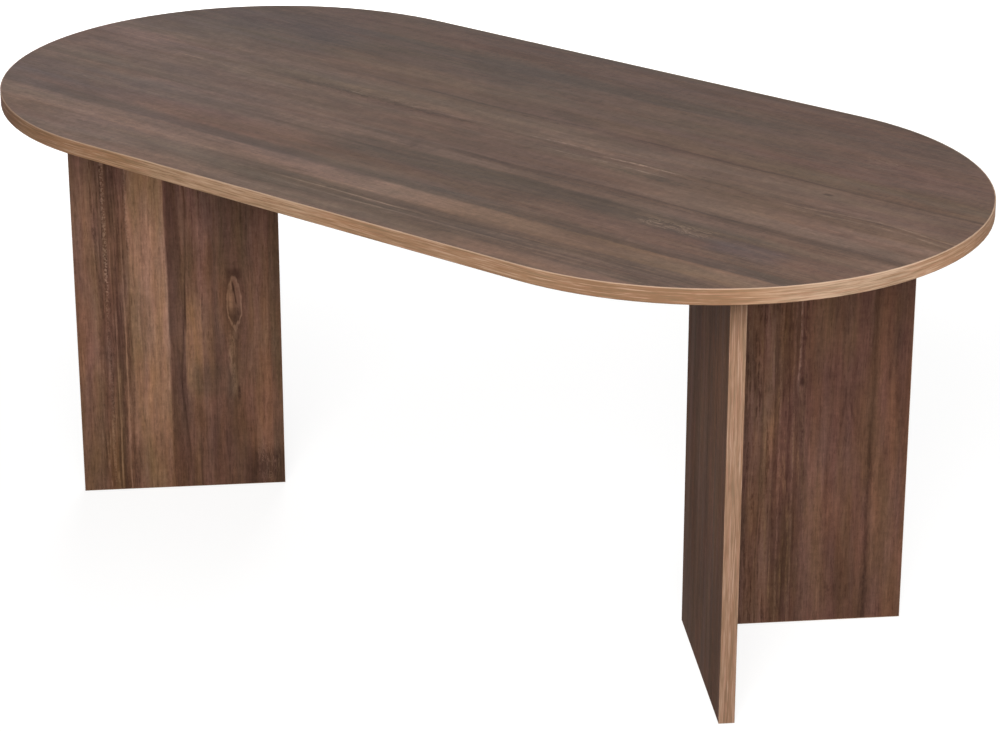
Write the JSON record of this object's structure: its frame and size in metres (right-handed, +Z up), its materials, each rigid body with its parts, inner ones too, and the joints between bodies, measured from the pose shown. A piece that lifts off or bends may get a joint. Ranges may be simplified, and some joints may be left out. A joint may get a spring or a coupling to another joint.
{
  "type": "dining table",
  "caption": "Dining table with an oblong, round-ended top on V-shaped legs of upright boards that open towards the table's ends.",
  "frame": {"origin": "on the floor, under the middle of the top", "axes": "+X along the length of the top towards the right leg, +Y to the rear, +Z up"},
  "size_m": [1.7996, 0.9, 0.75],
  "materials": {
    "top_laminate": "satin walnut-effect laminate on particleboard, grain along the top",
    "top_edge_band": "matt oak-effect ABS band, fine grain along its length",
    "leg_laminate": "satin walnut-effect laminate on particleboard, grain upright",
    "leg_edge_band": "matt oak-effect ABS band, fine grain along its length",
    "cam_zinc": "die-cast zinc, bright",
    "bolt_steel": "zinc-plated",
    "cap_plastic": "matt brown polypropylene",
    "dowel_beech": "plain beech, fluted",
    "glide_plastic": "dark brown nylon"
  },
  "bodies": {
    "root": {"table_top": "top_laminate", "top_edge_band": "top_edge_band", "front_left_leg_board": "leg_laminate", "rear_left_leg_board": "leg_laminate", "front_right_leg_board": "leg_laminate", "rear_right_leg_board": "leg_laminate", "front_left_free_edge_band": "leg_edge_band", "rear_left_free_edge_band": "leg_edge_band", "front_right_free_edge_band": "leg_edge_band", "rear_right_free_edge_band": "leg_edge_band", "front_left_corner_edge_band": "leg_edge_band", "front_right_corner_edge_band": "leg_edge_band", "front_left_foot_edge_band": "leg_edge_band", "rear_left_foot_edge_band": "leg_edge_band", "front_right_foot_edge_band": "leg_edge_band", "rear_right_foot_edge_band": "leg_edge_band", "left_top_joint_bolts": "bolt_steel", "right_top_joint_bolts": "bolt_steel", "left_top_joint_cams": "cam_zinc", "right_top_joint_cams": "cam_zinc", "left_top_joint_cam_caps": "cap_plastic", "right_top_joint_cam_caps": "cap_plastic", "left_top_joint_dowels": "dowel_beech", "right_top_joint_dowels": "dowel_beech", "left_corner_joint_bolts": "bolt_steel", "right_corner_joint_bolts": "bolt_steel", "left_corner_joint_cams": "cam_zinc", "right_corner_joint_cams": "cam_zinc", "left_corner_joint_cam_caps": "cap_plastic", "right_corner_joint_cam_caps": "cap_plastic", "left_corner_joint_dowels": "dowel_beech", "right_corner_joint_dowels": "dowel_beech", "left_glides": "glide_plastic", "right_glides": "glide_plastic"}
  },
  "joints": []
}
